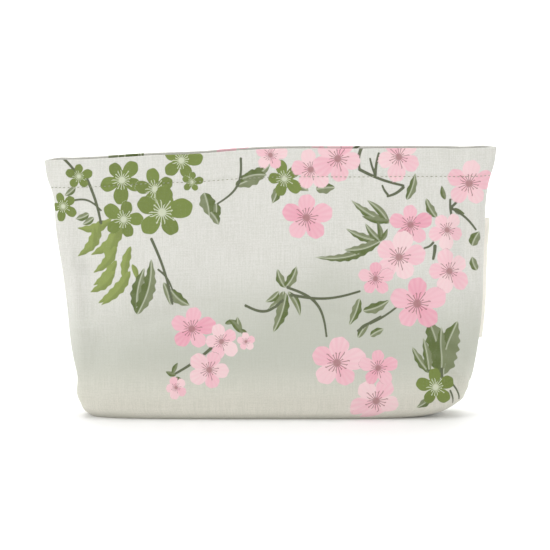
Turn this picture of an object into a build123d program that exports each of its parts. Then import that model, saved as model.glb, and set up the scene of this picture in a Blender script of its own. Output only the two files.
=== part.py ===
from build123d import *
from math import atan2, degrees, hypot
import os

# A soft zippered pouch that stands on a boxed base, in millimetres.
#
# +X runs along the zip, -Y is the front and +Z is up. The origin is the middle of the base, on the
# surface it stands on. The outer cloth is one cut: front wall, base and back wall. It folds along the two
# long edges of the base, and the walls swing outwards there when the zip is open, so each layer of cloth
# is three nodes that meet at those two folds.

os.makedirs("parts", exist_ok=True)

# ---- The pouch's overall shape ----
rim_width = 259.0  # across the top edge, from side seam to side seam
rim_depth = 11.0  # front to back at the top edge
pouch_height = 152.0
band_height = 16.0  # the rim band, from the top edge down to the topstitching
zip_line_width = 249.0
zip_line_depth = 17.0
belly_height = 45.0
belly_width = 231.0
belly_depth = 38.0
base_width = 222.0
base_depth = 44.0
fold_height = 6.0  # where the rounded edge of the base turns into the wall

# How far the flat of the base, and the middle of its rounded edge, stop short of the base's full outline.
flat_inset = 5.0
edge_inset = 1.6
edge_height = 1.8

# How far each section's front runs in from its side seams, and the radius where it turns.
base_run = 5.0
belly_run = 7.0
zip_run = 12.0
rim_run = 10.0
turn_radius = 7.0

# ---- The layers of cloth ----
cloth = 0.7  # woven outer cloth
padding = 1.2  # fused fleece
lining = 0.4
tape = 0.5  # the zip's woven tape
thread = 0.25  # how far a stitch stands out
layer_gap = 0.1
hem_gap = 0.2  # inside the folded hem
fold_gap = 0.3  # between the base and the walls, which swing
seam_gap = 0.7  # between the front and back walls at the side seams; the label passes through it

# ---- Sewing ----
stitch_pitch = 2.6
stitch_length = 2.0
stitch_width = 0.45
stitch_clearance = 0.03
hem_below = 4.0  # the hem's raw edge, below the topstitching
tape_leg = 8.0  # the tape's margin, turned down behind the hem
padding_trim = 3.0  # the padding is trimmed back from the side seams
padding_below = 12.0  # and from the topstitching
seam_strip_half = 1.0  # half the width of the pressed side seam allowances
seam_strip = 0.5
seam_clearance = 0.5  # from the seam strip to the cloth, which swings past it
corner_seam_half = 9.0  # half the length of the seam across each boxed corner
corner_seam_width = 4.0
corner_seam_round = 0.4

# ---- The side label ----
label_low = 45.0
label_high = 115.0
label_stand = 4.0  # how far its fold stands out of the seam
label_ply = 0.2
label_gap = 0.1
label_root = 1.4  # how far it reaches in past the seam line

# ---- The zip ----
zip_half_length = 100.0  # from the middle of the zip to its last tooth
zip_rise = 1.5  # the tape's middle plane, above the topstitching
tape_edge = 0.9  # from the middle line to the tape's woven edge
tooth_pitch = 1.5
tooth_wire = 0.6
tooth_reach = 0.5  # how far each tooth passes the middle line
coil_width = 2.6
coil_height = 1.3
coil_cord = 0.9
stop_length = 2.5
stop_plate = 0.5
stop_edge = 0.5  # from the middle line to a top stop

# ---- The slider and its pull ----
slider_length = 9.6
slider_width = 8.8
slider_tail = 8.2
slider_corner = 0.8
plate = 0.8
flange = 0.6
channel_clearance = 0.25  # the coils also have to part round the post inside the channel
post_radius = 0.45
post_from_nose = 1.8
crown_width = 1.6
crown_wall = 0.9
crown_half = 2.4
pull_length = 17.5
pull_width = 5.2
pull_bar = 1.2
pull_eye = 1.1
pull_corner = 2.1
swing_clearance = 0.3

# ---- What follows from those sizes ----
stitch_height = pouch_height - band_height
zip_height = stitch_height + zip_rise
hem_in = cloth + hem_gap
hem_back = hem_in + cloth
tape_in = hem_back + layer_gap
tape_back = tape_in + tape
padding_in = cloth + layer_gap
padding_back = padding_in + padding
lining_in = max(padding_back, tape_back) + 2 * layer_gap
lining_back = lining_in + lining
wall_low = fold_height + fold_gap / 2
base_high = fold_height - fold_gap / 2
reach = rim_width + base_depth  # wider than the pouch, for the boxes that trim it

# Every level is (height, width, depth, run, radius), and the walls are straight between two levels.
LEVELS = [
    (0.0, base_width - 2 * flat_inset, base_depth - 2 * flat_inset, base_run, turn_radius),
    (edge_height, base_width - 2 * edge_inset, base_depth - 2 * edge_inset, base_run, turn_radius),
    (fold_height, base_width, base_depth, base_run, turn_radius),
    (belly_height, belly_width, belly_depth, belly_run, turn_radius),
    (stitch_height, zip_line_width, zip_line_depth, zip_run, turn_radius),
    (pouch_height, rim_width, rim_depth, rim_run, turn_radius),
]


def level_at(height):
    """Width, depth, run and radius at a height, in proportion between the two levels around it."""
    for low, high in zip(LEVELS, LEVELS[1:]):
        if height <= high[0]:
            share = (height - low[0]) / (high[0] - low[0])
            return [a + share * (b - a) for a, b in zip(low[1:], high[1:])]
    return LEVELS[-1][1:]


def seam_x(height):
    """The side seam's distance from the middle at this height."""
    return level_at(height)[0] / 2


def section_at(height, inset):
    """One closed level section, its outline moved in by inset."""
    width, depth, run, radius = level_at(height)
    with BuildSketch(Plane.XY.offset(height)) as section:
        with BuildLine():
            Polyline(
                (-width / 2, 0),
                (run - width / 2, -depth / 2),
                (width / 2 - run, -depth / 2),
                (width / 2, 0),
                (width / 2 - run, depth / 2),
                (run - width / 2, depth / 2),
                close=True,
            )
        make_face()
        fillet(section.vertices().sort_by(lambda v: abs(v.X))[:4], radius)
        if inset:
            offset(amount=-inset, kind=Kind.INTERSECTION, mode=Mode.REPLACE)
    return section.sketch


def pouch_block(inset):
    """The pouch as one closed block, its sides and bottom moved in by inset."""
    heights = [inset] + [level[0] for level in LEVELS if level[0] > inset]
    sections = [section_at(height, inset) for height in heights]
    with BuildPart() as block:
        loft(sections, ruled=True)
    return block.part


INSETS = [0, cloth, padding_in, padding_back, hem_in, hem_back, tape_in, tape_back, lining_in, lining_back]
BLOCKS = {inset: pouch_block(inset) for inset in INSETS}


def layer(outer, inner, low, high):
    """The sheet between two insets, from one height to another."""
    with BuildPart() as sheet:
        add(BLOCKS[outer])
        add(BLOCKS[inner], mode=Mode.SUBTRACT)
        with Locations((0, 0, (low + high) / 2)):
            Box(reach, reach, high - low, mode=Mode.INTERSECT)
    return sheet.part


def write(builder, name):
    """Label a finished piece and write its file."""
    builder.part.label = name
    export_step(builder.part, f"parts/{name}.step")


def write_front_and_back(builder, name):
    """Write a piece of the front wall and its mirror image in the back wall."""
    with BuildPart() as back:
        mirror(builder.part, about=Plane.XZ)
    write(builder, f"front_{name}")
    write(back, f"back_{name}")


def write_left_and_right(builder, name):
    """Write a piece of the right side and its mirror image on the left."""
    with BuildPart() as left:
        mirror(builder.part, about=Plane.YZ)
    write(builder, f"right_{name}")
    write(left, f"left_{name}")


# ---- Outer cloth: the base, and walls whose tops fold in and down as a hem ----
base_sheet = layer(0, cloth, 0.0, base_high)
wall_sheet = layer(0, cloth, wall_low, pouch_height)
hem_sheet = layer(hem_in, hem_back, stitch_height - hem_below, pouch_height)
rim_fold = layer(0, hem_back, pouch_height - cloth, pouch_height)

with BuildPart() as base_cloth:
    add(base_sheet)
write(base_cloth, "base_cloth")

with BuildPart() as front_cloth:
    add(wall_sheet)
    add(hem_sheet)
    add(rim_fold)
    split(bisect_by=Plane.XZ.offset(seam_gap / 2), keep=Keep.TOP)
write_front_and_back(front_cloth, "cloth")

# ---- Fleece padding, fused to the cloth and trimmed back from every seam ----
corner_seam_inner = base_width / 2 - flat_inset - lining_in - corner_seam_width
base_fleece = layer(padding_in, padding_back, padding_in, base_high)
wall_fleece = layer(padding_in, padding_back, wall_low, stitch_height - padding_below)

with BuildPart() as base_padding:
    add(base_fleece)
    Box(2 * (corner_seam_inner - layer_gap), reach, reach, mode=Mode.INTERSECT)
write(base_padding, "base_padding")

with BuildPart() as front_padding:
    add(wall_fleece)
    split(bisect_by=Plane.XZ.offset(padding_trim), keep=Keep.TOP)
write_front_and_back(front_padding, "padding")

# ---- Lining ----
base_bag = layer(lining_in, lining_back, lining_in, base_high)
wall_bag = layer(lining_in, lining_back, wall_low, zip_height - 2 * tape)

with BuildPart() as base_lining:
    add(base_bag)
write(base_lining, "base_lining")

with BuildPart() as front_lining:
    add(wall_bag)
    split(bisect_by=Plane.XZ.offset(seam_gap / 2), keep=Keep.TOP)
write_front_and_back(front_lining, "lining")

# ---- Side seams: the pressed allowances, a straight strip just inside each seam line ----
seam_low = fold_height + fold_gap
seam_high = stitch_height - hem_below - tape_leg
seam_heights = [seam_low, belly_height, (belly_height + seam_high) / 2, seam_high]


def strip_x(height):
    """The strip's outer face, clear of the cloth beside it, which turns away from the seam."""
    width, depth, run = level_at(height)[:3]
    slope = run / (depth / 2)
    return width / 2 - cloth * hypot(1, slope) - slope * seam_strip_half - seam_clearance


with BuildPart() as side_seam:
    with BuildSketch(Plane.XZ):
        with BuildLine():
            outer_edge = [(strip_x(height), height) for height in seam_heights]
            inner_edge = [(x - seam_strip, height) for x, height in reversed(outer_edge)]
            Polyline(outer_edge + inner_edge, close=True)
        make_face()
    extrude(amount=seam_strip_half, both=True)
write_left_and_right(side_seam, "side_seam")

# ---- The seam across each boxed corner, lying on the cloth inside the end of the base ----
with BuildPart() as corner_seam:
    with Locations((corner_seam_inner + corner_seam_width / 2, 0, cloth + layer_gap + padding / 2)):
        Box(corner_seam_width, 2 * corner_seam_half, padding)
    fillet(corner_seam.edges().filter_by(Axis.Y), corner_seam_round)
write_left_and_right(corner_seam, "corner_seam")

# ---- Topstitching below the rim band, one row round each wall ----
line_width, line_depth, line_run, line_radius = level_at(stitch_height)
front_half = line_width / 2 - line_run - line_radius / 2  # the straight front, short of where it turns
side_angle = degrees(atan2(line_depth / 2, line_run))
side_length = hypot(line_depth / 2, line_run) - line_radius / 2  # the straight side, short of the same turn
side_stitches = int(side_length / stitch_pitch)

with BuildPart() as front_topstitch:
    with Locations((0, -line_depth / 2 - stitch_clearance - thread / 2, stitch_height)):
        with GridLocations(stitch_pitch, 1, 2 * int(front_half / stitch_pitch) + 1, 1):
            Box(stitch_length, thread, stitch_width)
    for end in (-1, 1):
        seam_line = Location((end * line_width / 2, 0, stitch_height), (0, 0, end * side_angle))
        with Locations(seam_line):
            with Locations((-end * side_stitches * stitch_pitch / 2, -stitch_clearance - thread / 2, 0)):
                with GridLocations(stitch_pitch, 1, side_stitches, 1):
                    Box(stitch_length, thread, stitch_width)
write_front_and_back(front_topstitch, "topstitch")

# ---- Side label: a strip folded in half, both ends caught in the right side seam ----
label_end = seam_x(label_low) - label_root
label_lean = seam_x(label_high) - seam_x(label_low)
label_across = label_root + label_stand
label_half = label_ply + label_gap / 2


def label_outline(left, right, margin):
    """The label's slanted face between two distances from its caught end, taller by margin at each end."""
    with BuildLine() as outline:
        Polyline(
            (label_end + left, label_low - margin),
            (label_end + right, label_low - margin),
            (label_end + right + label_lean, label_high + margin),
            (label_end + left + label_lean, label_high + margin),
            close=True,
        )
    return outline.line


with BuildPart() as side_label:
    with BuildSketch(Plane.XZ):
        add(label_outline(0, label_across, 0))
        make_face()
    extrude(amount=label_half, both=True)
    with BuildSketch(Plane.XZ):
        add(label_outline(-label_across, label_across - label_ply, label_ply))
        make_face()
    extrude(amount=label_gap / 2, both=True, mode=Mode.SUBTRACT)
write(side_label, "side_label")

# ---- Zip tapes: a flat shelf from the woven edge to the hem, then a margin turned down behind it ----
shelf_low = zip_height - tape / 2
shelf_high = zip_height + tape / 2
tape_margin = layer(tape_in, tape_back, shelf_low - tape_leg, shelf_high)

with BuildPart() as zip_shelf:
    add(BLOCKS[tape_in])
    with Locations((0, 0, zip_height)):
        Box(reach, reach, tape, mode=Mode.INTERSECT)

with BuildPart() as front_zip_tape:
    add(zip_shelf.part)
    add(tape_margin)
    split(bisect_by=Plane.XZ.offset(tape_edge), keep=Keep.TOP)
write_front_and_back(front_zip_tape, "zip_tape")

# ---- Zip coils: one wire sewn on top of each tape, whose turns are the teeth ----
tooth_count = int(2 * zip_half_length / tooth_pitch)
coil_end = tooth_pitch * (tooth_count + 1) / 2
coil_back = coil_width - tooth_reach
coil_low = zip_height + tape / 2
coil_high = coil_low + coil_height


def zip_coil(side, shift):
    """A comb of turns that reach past the middle line, joined at their back by the cord sewn to the tape."""
    start = shift - tooth_pitch * tooth_count / 2
    points = []
    for tooth in range(tooth_count):
        left = start + tooth * tooth_pitch
        points += [
            (left, side * (coil_back - coil_cord)),
            (left, -side * tooth_reach),
            (left + tooth_wire, -side * tooth_reach),
            (left + tooth_wire, side * (coil_back - coil_cord)),
        ]
    points += [(left + tooth_wire, side * coil_back), (start, side * coil_back)]
    with BuildPart() as coil:
        with BuildSketch(Plane.XY.offset(coil_low)):
            with BuildLine():
                Polyline(points, close=True)
            make_face()
        extrude(amount=coil_height)
    return coil


# The back's teeth stand between the front's.
write(zip_coil(-1, 0), "front_zip_coil")
write(zip_coil(1, tooth_pitch / 2), "back_zip_coil")

# ---- Slider: two plates round the coils, joined by the post that parts the tapes ----
post_x = coil_end + post_radius + channel_clearance
nose_x = post_x + post_from_nose
tail_x = nose_x - slider_length
channel_low = zip_height - tape / 2 - channel_clearance
channel_high = coil_high + channel_clearance
channel_side = slider_width / 2 - flange
slider_top = channel_high + plate
pull_x = nose_x - slider_length / 2
pull_z = slider_top + swing_clearance + pull_bar / 2
crown_window_high = pull_z + pull_bar / 2 + swing_clearance
crown_top = crown_window_high + crown_wall

with BuildPart() as slider_body:
    with BuildSketch(Plane.XY.offset(channel_low - plate)) as plate_outline:
        with BuildLine():
            Polyline(
                (tail_x, -slider_tail / 2),
                (pull_x, -slider_width / 2),
                (nose_x, -slider_width / 2),
                (nose_x, slider_width / 2),
                (pull_x, slider_width / 2),
                (tail_x, slider_tail / 2),
                close=True,
            )
        make_face()
        fillet(plate_outline.vertices(), slider_corner)
    extrude(amount=slider_top - channel_low + plate)
    # The channel that the tapes and the coils run through, and the slots for the tapes at its sides.
    with Locations((pull_x, 0, (channel_low + channel_high) / 2)):
        Box(2 * slider_length, 2 * channel_side, channel_high - channel_low, mode=Mode.SUBTRACT)
    with Locations((pull_x, 0, zip_height)):
        Box(2 * slider_length, 2 * slider_width, tape + 2 * channel_clearance, mode=Mode.SUBTRACT)
    with Locations((post_x, 0, (channel_low + channel_high) / 2)):
        Cylinder(post_radius, channel_high - channel_low)
    # The crown, whose window holds the pull's bar.
    with BuildSketch(Plane.XZ) as crown:
        with Locations((pull_x, (slider_top + crown_top) / 2)):
            Rectangle(2 * crown_half, crown_top - slider_top)
        fillet(crown.vertices().group_by(Axis.Y)[-1], crown_wall)
        with Locations((pull_x, (slider_top + crown_window_high) / 2)):
            Rectangle(pull_bar + 2 * swing_clearance, crown_window_high - slider_top, mode=Mode.SUBTRACT)
    extrude(amount=crown_width / 2, both=True)
write(slider_body, "slider_body")

# ---- Pull: a flat tab with a window that the crown passes through as it swings ----
window_half = crown_width / 2 + swing_clearance
window_length = hypot(crown_half, crown_top - pull_z) + swing_clearance

with BuildPart() as slider_pull:
    with BuildSketch(Plane.XY.offset(pull_z - pull_bar / 2)) as tab:
        with Locations((pull_x - pull_length / 2, 0)):
            Rectangle(pull_length, pull_width)
        fillet(tab.vertices().group_by(Axis.X)[0], pull_corner)
        with Locations((pull_x - window_length / 2, 0)):
            Rectangle(window_length, 2 * window_half, mode=Mode.SUBTRACT)
        with Locations((pull_x - pull_length + pull_width / 2, 0)):
            Circle(pull_eye, mode=Mode.SUBTRACT)
    extrude(amount=pull_bar)
    with Locations((pull_x, 0, pull_z)):
        Cylinder(pull_bar / 2, pull_width, rotation=(90, 0, 0))
write(slider_pull, "slider_pull")

# ---- Stops: a clamp across both tapes where the zip starts, and one on each tape where it ends ----
with BuildPart() as bottom_stop:
    with Locations((-coil_end - stop_length / 2, 0, zip_height)):
        Box(stop_length, 2 * coil_back, 2 * (tape / 2 + layer_gap + stop_plate))
        Box(2 * stop_length, 2 * coil_back, tape + 2 * layer_gap, mode=Mode.SUBTRACT)
        Box(stop_length, 2 * (tape_edge - channel_clearance), tape + 2 * layer_gap)
    fillet(bottom_stop.edges().filter_by(Axis.X).group_by(Axis.Z)[-1], stop_plate / 2)
write(bottom_stop, "bottom_stop")

with BuildPart() as front_top_stop:
    with Locations((nose_x + swing_clearance + stop_length / 2, -(stop_edge + coil_back) / 2, zip_height)):
        Box(stop_length, coil_back - stop_edge, tape + 2 * stop_plate)
    with Locations((nose_x + stop_length, -tape_edge - coil_back, zip_height)):
        Box(2 * stop_length, 2 * coil_back, tape, mode=Mode.SUBTRACT)
write_front_and_back(front_top_stop, "top_stop")

print("slider travel", round(tail_x + coil_end - swing_clearance, 3), "mm")
print("pull bar at", round(pull_x, 3), round(pull_z, 3), "folds at", base_depth / 2, fold_height)
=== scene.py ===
# %% [markdown]
# # A soft zippered pouch
# A padded cotton pouch is four layers of cloth that are sewn together at the sides and turned the right way
# out. The frame brings the pouch's measured pieces and the bodies that move: the base, two walls that swing
# apart, the slider and its pull. Each soft piece is made here as a surface over those bodies.

import bmesh
import bpy
import numpy as np
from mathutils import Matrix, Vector


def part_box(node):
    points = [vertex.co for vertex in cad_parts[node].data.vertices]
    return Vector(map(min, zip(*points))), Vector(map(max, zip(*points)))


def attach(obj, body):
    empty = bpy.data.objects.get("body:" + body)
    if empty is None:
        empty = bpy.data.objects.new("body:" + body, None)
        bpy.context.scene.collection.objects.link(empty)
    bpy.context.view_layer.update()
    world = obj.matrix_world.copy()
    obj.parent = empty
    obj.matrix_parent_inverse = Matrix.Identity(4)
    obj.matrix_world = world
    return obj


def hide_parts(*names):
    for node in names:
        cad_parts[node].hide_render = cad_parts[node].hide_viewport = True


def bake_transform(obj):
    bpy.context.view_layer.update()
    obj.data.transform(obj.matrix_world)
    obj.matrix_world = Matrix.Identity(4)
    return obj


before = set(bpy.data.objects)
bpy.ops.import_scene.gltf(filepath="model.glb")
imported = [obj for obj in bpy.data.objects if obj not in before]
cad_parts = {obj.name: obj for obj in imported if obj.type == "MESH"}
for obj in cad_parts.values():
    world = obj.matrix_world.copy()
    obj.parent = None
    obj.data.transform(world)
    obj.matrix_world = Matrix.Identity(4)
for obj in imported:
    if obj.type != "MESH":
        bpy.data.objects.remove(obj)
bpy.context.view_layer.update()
MM = 0.001

# %% [markdown]
# ## The heights that everything shares
# The frame knows where the fold, the stitching, the zip and the rim are. Reading them from its pieces keeps
# the cloth and the zip together when the pouch is made in another size. Lengths are in millimetres until a
# mesh is written.

# %% Heights and insets
rim_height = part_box("front_cloth")[1].z / MM
fold_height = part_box("front_cloth")[0].z / MM
stitch_height = (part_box("front_topstitch")[0].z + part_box("front_topstitch")[1].z) / 2 / MM
coil_low, coil_high = (corner.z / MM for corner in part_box("front_zip_coil"))
zip_start, zip_end = (corner.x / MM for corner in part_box("front_zip_coil"))
hem_below = 4.0  # the hem's raw edge, below the topstitching
hem_low = stitch_height - hem_below
hem_thick = 1.5
padding_inset = 0.9
tape_inset = 1.7
lining_inset = 2.4
print("rim", round(rim_height, 1), "stitching", round(stitch_height, 1), "zip from", round(zip_start, 1))

# %% [markdown]
# ## The pouch's shape
# Every level section of the pouch is a superellipse: a rounded oblong whose corners get softer as its power
# falls. Four smooth curves over the height give its left and right half widths, its half depth and that
# power. The left side leans in further than the right one, and the bottom right corner is the rounder of
# the two.

# %% Curves over the height


def through(*points):
    """A smooth curve through (place, value) points: cubic spans whose end slopes are the local gradients."""
    places, values = np.array(points, float).T
    slopes = np.gradient(values, places)

    def curve(x):
        x = np.clip(x, places[0], places[-1])
        i = np.clip(np.searchsorted(places, x, side="right") - 1, 0, len(places) - 2)
        h = places[i + 1] - places[i]
        t = (x - places[i]) / h
        start = (2 * t**3 - 3 * t**2 + 1) * values[i] + (t**3 - 2 * t**2 + t) * h * slopes[i]
        return start + (3 * t**2 - 2 * t**3) * values[i + 1] + (t**3 - t**2) * h * slopes[i + 1]

    return curve


left_half = through((0, 104), (3, 108), (8, 110.3), (22, 112.3), (40, 115.6), (62, 117.8), (86, 120.4),
                    (112, 124),
                    (133, 126), (142, 129), (152, 130.5))
right_half = through((0, 89), (2, 97.5), (5, 104), (10, 110), (17, 114.5), (34, 118.8), (51, 121),
                     (103, 123.4),
                     (134, 126.4), (142, 129), (152, 130.6))
depth_half = through((0, 17), (3, 20.5), (8, 22.2), (30, 21), (60, 18.5), (95, 14), (125, 9.8), (136, 8.6),
                     (143, 7.2), (152, 5.4))
corner_power = through((0, 3.6), (10, 4.2), (60, 4.2), (100, 3.8), (136, 3.6), (152, 3.6))
rim_drop = through((-132, -3.8), (-100, -2.7), (-68, -0.7), (-40, 0.4), (-20, 2.0), (0, 3.0), (50, 3.2),
                   (90, 3.4),
                   (118, 3.3), (132, 4.0))


def ease(t):
    """0 before 0, 1 after 1 and a smooth step between."""
    t = np.clip(t, 0, 1)
    return t * t * (3 - 2 * t)


# %% [markdown]
# ## One quarter of a level section
# A wall is made in two quarters, from the middle of the pouch out to each side seam, because the mouth
# opens like a lens: it is still at both seams and widest in the middle. Points are spaced evenly along the
# outline, so that the weave isn't stretched where the section turns.

# %% Points on the outline


def outline(shares, heights, side):
    """x and y of the outline at shares of its length, from the middle (0) to the side seam (1).

    x is the half width times sin(t) to the power 2/n, and y is minus the half depth times cos(t) to the
    power 2/n.
    """
    half = (left_half if side < 0 else right_half)(heights)[:, None]
    depth = depth_half(heights)[:, None]
    power = 2 / corner_power(heights)[:, None]
    turn = np.pi / 2 * (0.5 - 0.5 * np.cos(np.linspace(0, np.pi, 400)))
    x = side * half * np.sin(turn) ** power
    y = -depth * np.clip(np.cos(turn), 0, 1) ** power
    x[:, -1], y[:, -1] = side * half[:, 0], 0.0
    steps = np.hypot(np.diff(x, axis=1), np.diff(y, axis=1))
    run = np.concatenate([np.zeros((len(heights), 1)), np.cumsum(steps, axis=1)], axis=1)
    wanted = run[:, -1:] * shares[None, :]
    picked = [(np.interp(w, r, a), np.interp(w, r, b)) for w, r, a, b in zip(wanted, run, x, y)]
    return np.array([p[0] for p in picked]), np.array([p[1] for p in picked]), side * wanted


# %% [markdown]
# ## How soft cloth lies
# Padded cotton isn't flat. It bulges between its seams, ripples where a row of stitching gathers it, folds
# softly beside the side seams, and dips where the thread pulls it in. Each of those is a small wave in
# millimetres, and their sum moves the surface along its own normal, the same way for every layer, so that
# the layers stay apart.

# %% Folds, ripples and the stitched groove


CREASE_DEPTH = 2.1  # what every crease's own depth is multiplied by
CREASES = [  # place across, height, width, tallness, lean, how far it stands out
    (72, 116, 8, 13, -0.6, -1.3), (62, 122, 9, 16, 0.9, 1.0), (112, 96, 6, 30, 0.05, -1.2),
    (104, 78, 7, 26, 0.1, 0.9),
    (96, 46, 8, 20, 0.9, -1.1), (108, 22, 4, 9, 0.8, -1.6), (104, 30, 5, 12, 0.9, 1.2),
    (-104, 76, 9, 26, 0.1, -1.2),
    (-112, 70, 4, 24, 0.1, 1.0), (-98, 40, 9, 14, -0.3, -1.0), (-60, 60, 16, 10, -2.2, -0.8),
    (30, 62, 18, 9, 2.5, -0.6),
    (-106, 52, 12, 3.5, 0, 0.9), (-106, 88, 12, 4, 0, -0.8), (45, 92, 12, 14, 1.5, 0.7),
    (-20, 96, 20, 12, 1.2, -0.7),
]


def relief(u, z, face):
    """How far the wall stands out at a run u from the middle and a height z: bulge, waves, folds and the
    groove."""
    phase = 0.0 if face < 0 else 2.1
    reach = np.abs(u) / 135.0
    body = ease(z / 25) * ease((stitch_height - z) / 25)
    bulge = 1.6 * body * np.cos(np.pi / 2 * np.clip(reach, 0, 1))
    waves = 0.9 * np.sin(u / 21 + z / 33 + phase) * np.sin(z / 25 - u / 57 + 1.3 * phase)
    waves += 0.45 * np.sin(u / 11.5 - z / 15 + 2 * phase) * np.sin(z / 37 + u / 90)
    for place, height, wide, tall, lean, deep in CREASES:
        across = (u - place) + lean * (z - height)
        patch = np.exp(-((across / wide) ** 2)) * np.exp(-(((z - height) / tall) ** 2))
        waves += CREASE_DEPTH * deep * patch * (face < 0)
    side_zone = ease((reach - 0.66) / 0.12) * ease((1.02 - reach) / 0.1)
    folds = 0.55 * side_zone * np.sin(np.abs(u) / 2.9 + np.sin(z / 26 + phase) * 1.4 + phase) * ease(z / 30)
    folds += 0.5 * side_zone * np.sin(np.abs(u) / 5.3 + z / 40)
    below = stitch_height - z
    gather = (np.exp(-np.clip(below, 0, None) / 9) * (below > 0)
              + np.exp(-np.clip(-below, 0, None) / 5) * (below <= 0))
    ripple = 0.22 * gather * (np.sin(u / 1.9 + np.sin(u / 7.3) * 2 + phase) + 0.6 * np.sin(u / 4.7 + phase))
    groove = -0.45 * np.exp(-((below / 1.1) ** 2))
    corner = 0.9 * np.exp(-(((z - 16) / 13) ** 2)) * ease((reach - 0.6) / 0.3)
    corner *= np.sin((np.abs(u) + 0.8 * z) / 4.6 + phase)
    total = bulge + body * waves + folds + ripple + groove + corner
    return total * ease((z - fold_height + 1) / 10)


BACK_RISE = 1.0  # how much higher the back's rim stands


def wall_points(shares, heights, insets, side, face):
    """Points of one quarter wall: the outline at each height, moved out by the relief and in by the inset.

    The move is along the surface's normal, the cross product of its tangents round the outline and up the wall.
    """
    x, y, u = outline(shares, heights, side)
    step = 0.5
    x_up, y_up, _ = outline(shares, heights + step, side)
    x_down, y_down, _ = outline(shares, heights - step, side)
    climb = np.clip(heights + step, 0, rim_height) - np.clip(heights - step, 0, rim_height)
    up = np.stack([x_up - x_down, y_up - y_down, np.broadcast_to(climb[:, None], x.shape)], axis=-1)
    round_it = np.stack([np.gradient(x, axis=1), np.gradient(y, axis=1), np.zeros_like(x)], axis=-1)
    normal = np.cross(round_it, up) * side
    normal[:, -1, 1] = 0.0
    normal[:, 0, 0] = 0.0
    normal /= np.linalg.norm(normal, axis=-1, keepdims=True)
    z = np.broadcast_to(heights[:, None], x.shape)
    seam_fade = 1 - ease((shares[None, :] - 0.93) / 0.07)
    seam_dip = -0.7 * np.exp(-(((1 - shares[None, :]) * 140 / 1.6) ** 2)) * ease((z - fold_height) / 8)
    out = relief(u, z, face) * seam_fade + seam_dip - insets[:, None]
    points = np.stack([x, y, z], axis=-1) + normal * out[..., None]
    rise = BACK_RISE * ease((1 - shares[None, :]) * 12) * (face > 0)
    points[..., 2] += (rim_drop(x) + rise) * ease((z - 60) / 85)
    points[..., 1] = np.minimum(points[..., 1], 0.0)
    points[..., 1] *= -face
    return points, u


# %% [markdown]
# ## From arrays to meshes
# A grid of points becomes a mesh of quads in one step. The grid also carries two lengths over the cloth,
# across and along, as a UV map in metres, so that thread and print keep their real size on every piece.

# %% Make a mesh from a grid of points


def write_attribute(mesh, name, values):
    """A number, a vector or a colour for each vertex."""
    kinds = {1: ("FLOAT", "value"), 3: ("FLOAT_VECTOR", "vector"), 4: ("FLOAT_COLOR", "color")}
    values = np.asarray(values, np.float32)
    kind, field = kinds[1 if values.ndim == 1 else values.shape[-1]]
    made = mesh.attributes.new(name, kind, "POINT")
    made.data.foreach_set(field, values.ravel())


def grid_piece(name, points, across, along, flip=False):
    """A mesh object of quads between the neighbouring points of a (rows, columns, 3) array in millimetres."""
    rows, columns = points.shape[:2]
    index = np.arange(rows * columns).reshape(rows, columns)
    corners = [index[:-1, :-1], index[:-1, 1:], index[1:, 1:], index[1:, :-1]]
    if flip:
        corners.reverse()
    quads = np.stack(corners, axis=-1).reshape(-1, 4)
    mesh = bpy.data.meshes.new(name)
    mesh.from_pydata(points.reshape(-1, 3) * MM, [], quads.tolist())
    lengths = np.stack([across, along], axis=-1).reshape(-1, 2) * MM
    corner_vertex = np.zeros(len(mesh.loops), np.int32)
    mesh.loops.foreach_get("vertex_index", corner_vertex)
    layer = mesh.uv_layers.new(name="cloth")
    layer.data.foreach_set("uv", lengths[corner_vertex].astype(np.float32).ravel())
    mesh.shade_smooth()
    made = bpy.data.objects.new(name, mesh)
    bpy.context.scene.collection.objects.link(made)
    return made


def fix_to(piece, body, material, slot, *nodes):
    """Give a piece its finish, its place among the bodies and the pieces of the frame that it stands for."""
    piece.data.materials.append(material)
    if nodes:
        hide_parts(*nodes)
    if body.endswith("_wall"):
        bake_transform(piece)
    else:
        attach(piece, body)


# the left coils part 1 mm at the slider's post when the slider is at its left end
SIDES = {"left": -1, "right": 1}
FACES = {"front": -1, "back": 1}

# %% [markdown]
# ## The printed flowers
# The print is worked out, not painted. Each motif is a signed distance: how far a point of the cloth is
# from the motif's edge, negative inside it. The distance is smooth, so that the edge stays crisp between
# the mesh's points. A blossom's edge is a circle pulled in five times, a leaf is a bent spindle and a stem
# is a bent line.

# %% Motif distances


def blossom(u, v, radius, turn, waist, petals=5):
    """Distance to five round petals: the radius times waist + (1 - waist) times the root of |cos(5/2
    angle)|."""
    angle = np.arctan2(v, u) - turn
    lobe = np.abs(np.cos(petals / 2 * angle))
    wobble = 1 + 0.06 * np.sin(angle + 5 * turn) + 0.04 * np.sin(2 * angle + 9 * turn)
    petal = np.round(angle / (2 * np.pi / petals)) % petals
    lobe = lobe * (1 + 0.16 * np.sin(petal * 2.1 + turn * 9))
    ruffle = 0.012 * np.sin(17 * angle + 3 * turn)
    return (np.hypot(u, v) - radius * wobble * (waist + (1 - waist) * lobe**0.5 + ruffle)) * 0.85


def leaf(u, v, tip, width, bend=0.0):
    """Distance to a toothed spindle: |offset| minus half the width times sin(pi share to the 0.8)."""
    length = np.hypot(*tip)
    share = (u * tip[0] + v * tip[1]) / length**2
    offset = (v * tip[0] - u * tip[1]) / length - bend * np.sin(np.pi * np.clip(share, 0, 1))
    inside = np.clip(share, 0, 1)
    notched = 1 + 0.12 * np.sin(inside * length * 1.3) * (width > 4)
    half = width / 2 * np.sin(np.pi * inside**0.8) ** 0.85 * notched
    past = np.abs(share - inside) * length
    return np.hypot(np.clip(np.abs(offset) - half, 0, None), past) + np.minimum(np.abs(offset) - half,
                                                                                0) * 0.9, share, offset


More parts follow.
